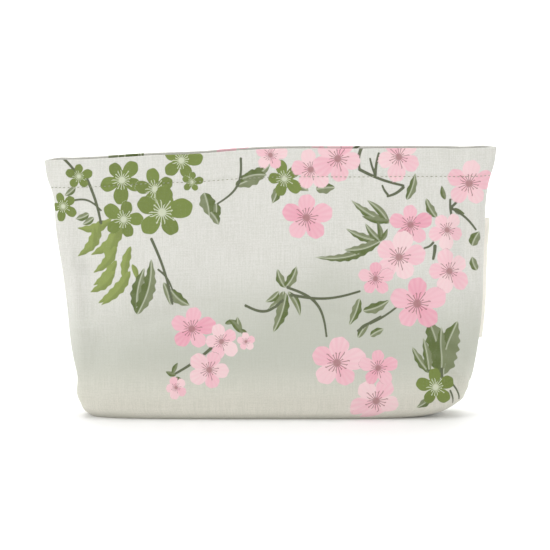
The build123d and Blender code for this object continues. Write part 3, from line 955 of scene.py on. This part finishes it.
thread = thread_finish("thread", linear(168, 170, 144), linear(110, 112, 88))
STITCH_PITCH, STITCH_LONG = 2.6, 1.9
THREAD_RADIUS, THREAD_DIP = 0.24, 0.3
for face_name, face in FACES.items():
    for side_name, side in SIDES.items():
        _, reach_out = wall_points(np.array([0.0, 1.0]), np.array([stitch_height]), np.zeros(1), side, face)
        row_length = abs(reach_out[0, 1])
        row_shares = np.arange(STITCH_PITCH / 2, row_length - 1, STITCH_PITCH) / row_length
        ends = [wall_points(row_shares + move / row_length, np.array([stitch_height]), np.array([-0.05]),
                            side, face)[0][0]
                for move in (-STITCH_LONG / 2, STITCH_LONG / 2)]
        way = ends[1] - ends[0]
        way /= np.linalg.norm(way, axis=1, keepdims=True)
        outward = np.stack([-way[:, 1], way[:, 0], np.zeros(len(way))], axis=1)
        outward *= np.sign(outward[:, 1:2] * face + 1e-9)
        row = beads(f"{face_name}_topstitch_{side_name}", (ends[0] + ends[1]) / 2, way, outward, STITCH_LONG,
                    THREAD_RADIUS, THREAD_DIP)
        fix_to(row, f"{face_name}_wall", thread, "thread", f"{face_name}_topstitch")
        print(row.name, len(row_shares), "stitches")

# %% [markdown]
# ## The zip's tapes
# Each tape is a shelf from its woven edge out to the wall, and its margin turns down behind the hem, where
# the topstitching holds it. It runs on to the side seams, which close its ends.

# %% Tapes
TAPE_EDGE = 0.9
tape_middle = coil_low - 0.25


def twill_tape():
    """Cream twill: a fine diagonal wave for the relief and the tone, from the tape's own two lengths."""
    material, shader, start = new_material("zip_tape", Roughness=0.8, Sheen_Weight=0.2)
    across, along, _ = start.node("ShaderNodeUVMap", {"uv_map": "cloth"}).split()
    rib = ((across + along) * (2 * np.pi / 0.0007)).sine() * 0.5 + 0.5
    cross = ((across - along) * (2 * np.pi / 0.0005)).sine() * 0.5 + 0.5
    tone = rib * 0.7 + cross * 0.3
    finish_with(material.node_tree, shader, tone.mixed(rgba(linear(202, 200, 178)),
                                                       rgba(linear(226, 224, 206))),
                bump=tone, strength=0.5, distance=0.00025)
    return material


tape_finish = twill_tape()
for face_name, face in FACES.items():
    for side_name, side in SIDES.items():
        shares = np.linspace(0, 1, 160)
        top = np.full(1, tape_middle)
        hem_line, u = wall_points(shares, top, np.full(1, tape_inset), side, face)
        hem_line = hem_line[0]
        hem_line[:, 2] = tape_middle
        edge_y = face * np.minimum(TAPE_EDGE, np.abs(hem_line[:, 1]))
        edge_line = np.stack([hem_line[:, 0], edge_y, hem_line[:, 2]], axis=1)
        over = np.linspace(0, 1, 8)[:, None, None]
        shelf = edge_line + (hem_line - edge_line) * over
        low = np.linspace(tape_middle - 0.3, tape_middle - 8, 8)
        margin, _ = wall_points(shares, low, np.full(8, tape_inset + 0.2), side, face)
        points = np.concatenate([shelf, margin])
        along = np.concatenate([[0], np.cumsum(np.linalg.norm(np.diff(points[:, 0], axis=0), axis=1))])
        u = np.broadcast_to(u, points.shape[:2])
        tape = grid_piece(f"{face_name}_zip_tape_{side_name}", points, u,
                          np.broadcast_to(along[:, None], u.shape),
                          flip=side * face < 0)
        solid = tape.modifiers.new("thickness", "SOLIDIFY")
        solid.thickness, solid.offset = 0.4 * MM, 0
        fix_to(tape, f"{face_name}_wall", tape_finish, "zip_tape", f"{face_name}_zip_tape")
        print(tape.name, round(float(along[-1]), 1), "mm wide")

# %% [markdown]
# ## The zip's coils
# A nylon coil is one wire wound into flat loops, and each loop's head hooks behind the other side's. A loop
# is a squashed ring, so a coil is that ring set down every millimetre and a half, and the back's rings
# stand between the front's. On the real zip a cord runs through them and is sewn down beside the tape's edge; no
# cord is made here.

# %% Coil loops
TOOTH_PITCH, WIRE = 1.5, 0.27


def loops(name, places, side_y, z_middle, z_half):
    """Closed squashed rings: across 0.8 + 1.15 cos, up z_half sin, with a round wire, at each place along
    x."""
    turn = np.linspace(0, 2 * np.pi, 15)[:-1]
    tube = np.linspace(0, 2 * np.pi, 7)[:-1]
    heading = np.stack([-1.15 * np.sin(turn), z_half * np.cos(turn)], axis=1)
    heading /= np.linalg.norm(heading, axis=1, keepdims=True)
    out_u, out_z = heading[:, 1], -heading[:, 0]
    u = 0.8 + 1.15 * np.cos(turn)[:, None] + WIRE * np.cos(tube) * out_u[:, None]
    z = z_middle + z_half * np.sin(turn)[:, None] + WIRE * np.cos(tube) * out_z[:, None]
    x = WIRE * np.sin(tube)[None, :] + 0.12 * np.sin(turn)[:, None]
    one = np.stack([x, side_y * u, z], axis=-1).reshape(-1, 3)
    points = (one[None] + places[:, None, None] * np.array([1.0, 0, 0])).reshape(-1, 3)
    a, b = np.meshgrid(np.arange(14), np.arange(6), indexing="ij")
    a2, b2 = (a + 1) % 14, (b + 1) % 6
    quads = np.stack([a * 6 + b, a * 6 + b2, a2 * 6 + b2, a2 * 6 + b], axis=-1).reshape(1, -1, 4)
    quads = (quads + (np.arange(len(places)) * 84)[:, None, None]).reshape(-1, 4)
    mesh = bpy.data.meshes.new(name)
    mesh.from_pydata(points * MM, [], (quads if side_y < 0 else quads[:, ::-1]).tolist())
    mesh.shade_smooth()
    piece = bpy.data.objects.new(name, mesh)
    bpy.context.scene.collection.objects.link(piece)
    return piece


def nylon():
    """Pale nylon with fine scratches in its gloss."""
    material, shader, start = new_material("zip_coil", IOR=1.5, Coat_Roughness=0.2)
    where = start.node("ShaderNodeTexCoord", out=3)
    cloud = where.noise(260.0, 3.0)
    finish_with(material.node_tree, shader, cloud.mixed(rgba(linear(214, 210, 190)),
                                                        rgba(linear(232, 229, 214))),
                roughness=cloud * 0.25 + 0.25, bump=where.noise(2500.0, 2.0), strength=0.2, distance=0.00005)
    return material


coil_nylon = nylon()
teeth = np.arange(zip_start, zip_end - TOOTH_PITCH / 2, TOOTH_PITCH) + 0.4
for face_name, face in FACES.items():
    for side_name, side in SIDES.items():
        places = teeth[np.sign(teeth) == side] + (0 if face < 0 else TOOTH_PITCH / 2)
        coil = loops(f"{face_name}_zip_coil_{side_name}", places, face, (coil_low + coil_high) / 2, 0.38)
        fix_to(coil, f"{face_name}_wall", coil_nylon, "zip_coil", f"{face_name}_zip_coil")
        print(coil.name, len(places), "loops")

# %% [markdown]
# ## Metal parts
# The slider, its pull and the stops are small die castings with an antique plating: darker in the hollows,
# brighter and smoother where fingers rub them. Two scales of noise give the worn clouds.

# %% The zip's metal


def antique_metal():
    """Plated metal: noise mixes the bright and dark plating and drives how rough it is."""
    material, shader, start = new_material("zip_metal", Metallic=1.0)
    where = start.node("ShaderNodeTexCoord", out=3)
    wear = (where.noise(350.0, 4.0) * 0.6 + where.noise(1500.0, 3.0) * 0.4).step(0.4, 0.6)
    finish_with(material.node_tree, shader, wear.mixed(rgba(linear(152, 128, 84)),
                                                       rgba(linear(208, 184, 128))),
                roughness=0.48 - wear * 0.18, bump=where.noise(1800.0, 3.0), strength=0.15, distance=0.00005)
    return material


metal = antique_metal()
for name in ("slider_body", "slider_pull", "bottom_stop"):
    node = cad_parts[name]
    node.data.materials.clear()
    node.data.materials.append(metal)

for face_name, face in FACES.items():
    low_corner, high_corner = (np.array(corner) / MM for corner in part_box(f"{face_name}_top_stop"))
    middle = (low_corner + high_corner) / 2
    clamp = beads(f"{face_name}_top_stop_clamp", middle[None], np.array([[0, 1.0, 0]]),
                  np.array([[0, 0, 1.0]]), 1.9,
                  0.85, 0.1)
    fix_to(clamp, f"{face_name}_wall", metal, "zip_metal", f"{face_name}_top_stop")

# %% [markdown]
# ## The side label
# A woven strip is folded in half and its ends are caught in the right side seam. It bends a little from
# front to back along its length. A row of short woven dashes runs up it.

# %% Label
label_low, label_high = (corner.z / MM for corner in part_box("side_label"))
rows = np.linspace(label_low, label_high, 70)
seam_edge, _ = wall_points(np.array([0.99, 1.0]), rows, np.full_like(rows, 0.9), 1, -1)
loop = np.linspace(0, np.pi, 9)
LABEL_ROOT, LABEL_STAND = 1.4, 4.0
profile_out = np.concatenate([np.linspace(-LABEL_ROOT, LABEL_STAND, 14),
                              LABEL_STAND + 0.3 * np.sin(loop[1:-1]),
                              np.linspace(LABEL_STAND, -LABEL_ROOT, 14)])
profile_y = np.concatenate([np.full(14, -0.3), -0.3 * np.cos(loop[1:-1]), np.full(14, 0.3)])
lean = 0.5 * np.sin((rows - label_low) / 17)[:, None] * (np.clip(profile_out, 0, None) / LABEL_STAND) ** 2
label_x = seam_edge[:, 1, 0][:, None] + profile_out * (1 + 0.03 * np.sin(rows / 9)[:, None])
points = np.stack([label_x, profile_y + lean, np.broadcast_to(rows[:, None], label_x.shape)], axis=-1)
label_across = np.broadcast_to(np.concatenate([[0],
                                               np.cumsum(np.hypot(np.diff(profile_out),
                                                                  np.diff(profile_y)))]),
                               label_x.shape)
label = grid_piece("side_label_folded", points, label_across, np.broadcast_to(rows[:, None], label_x.shape),
                   flip=True)


def label_finish():
    """The label's weave with a row of dark dashes along one line of its width."""
    material, shader, start = new_material("label", Roughness=0.85, Sheen_Weight=0.2)
    relief_height, tone, place = weave(start, 0.0003)
    across, along, _ = place.split()
    line = ((across - 0.0021).size()).step(0.0006, 0.0005)
    dash = (along * (1 / 0.0034)).part().step(0.42, 0.38)
    cloth_tone = (tone.step(0.35, 0.7) * 0.5).mixed(rgba(linear(250, 247, 238)), rgba(linear(236, 231, 218)))
    finish_with(material.node_tree, shader, (line * dash * 0.8).mixed(cloth_tone, rgba(linear(112, 112, 96))),
                bump=relief_height, strength=0.3, distance=0.00015)
    return material


fix_to(label, "base", label_finish(), "label_cotton", "side_label")
print(label.name, len(rows), "rows")

# %% [markdown]
# ## Studio
# A pale round sweep, a bright even sky and four large soft lights give the flat, shadowless look of a
# catalogue picture. The camera stands far back with a long lens, a little above the pouch.

# %% Floor, lights and camera


def studio_sweep():
    """A round floor that curves up all round: a radius and a height along the profile, turned about the
    middle."""
    bend = np.linspace(0, np.pi / 2, 16)
    radius = np.concatenate([np.linspace(0.0, 1900, 24), 1900 + 500 * np.sin(bend[1:]), [2400]])
    height = np.concatenate([np.zeros(24), 500 - 500 * np.cos(bend[1:]), [1500]])
    turn = np.linspace(0, 2 * np.pi, 97)
    around, radius = np.broadcast_arrays(turn[None, :], radius[:, None])
    height = np.broadcast_to(height[:, None], radius.shape)
    points = np.stack([radius * np.cos(around), radius * np.sin(around), height], axis=-1)
    sweep = grid_piece("studio_floor", points, radius, height, flip=True)
    material, shader, start = new_material("paper", Roughness=0.9, Specular_IOR_Level=0.1)
    cloud = start.node("ShaderNodeTexCoord", out=3).noise(3.0)
    finish_with(material.node_tree, shader, cloud.mixed(rgba((0.93, 0.93, 0.925)), rgba((0.95, 0.95, 0.945))))
    sweep.data.materials.append(material)


def soft_light(name, place, target, size, watts):
    """A square light at a place, turned towards a target."""
    data = bpy.data.lights.new(name, "AREA")
    data.size, data.energy = size, watts
    light = bpy.data.objects.new(name, data)
    light.location = place
    light.rotation_euler = (Vector(target) - Vector(place)).to_track_quat("-Z", "Y").to_euler()
    bpy.context.scene.collection.objects.link(light)


studio_sweep()
soft_light("key_light", (-1.3, -0.95, 1.0), (0, 0, 0.07), 0.6, 11.5)
soft_light("fill_light", (1.4, -0.8, 0.4), (0, 0, 0.07), 0.9, 5.5)
soft_light("top_light", (0, 0.3, 1.6), (0, 0.3, 0), 1.6, 18)
soft_light("backdrop_light", (0, 1.2, 1.5), (0, 2.3, 0.2), 1.6, 34)
world = bpy.data.worlds.new("studio")
world.use_nodes = True
world.node_tree.nodes["Background"].inputs[0].default_value = (1.0, 1.0, 1.0, 1.0)
world.node_tree.nodes["Background"].inputs[1].default_value = 0.35
bpy.context.scene.world = world
bpy.context.scene.view_settings.view_transform = "Standard"

AIM = Vector((0.0026, 0, 0.0815))
DISTANCE, ABOVE = 1.3, np.radians(7)
camera = bpy.data.objects.new("camera", bpy.data.cameras.new("camera"))
camera.data.lens = 147
camera.location = AIM + Vector((0, -np.cos(ABOVE), np.sin(ABOVE))) * DISTANCE
camera.rotation_euler = (AIM - camera.location).to_track_quat("-Z", "Y").to_euler()
bpy.context.scene.collection.objects.link(camera)
bpy.context.scene.camera = camera
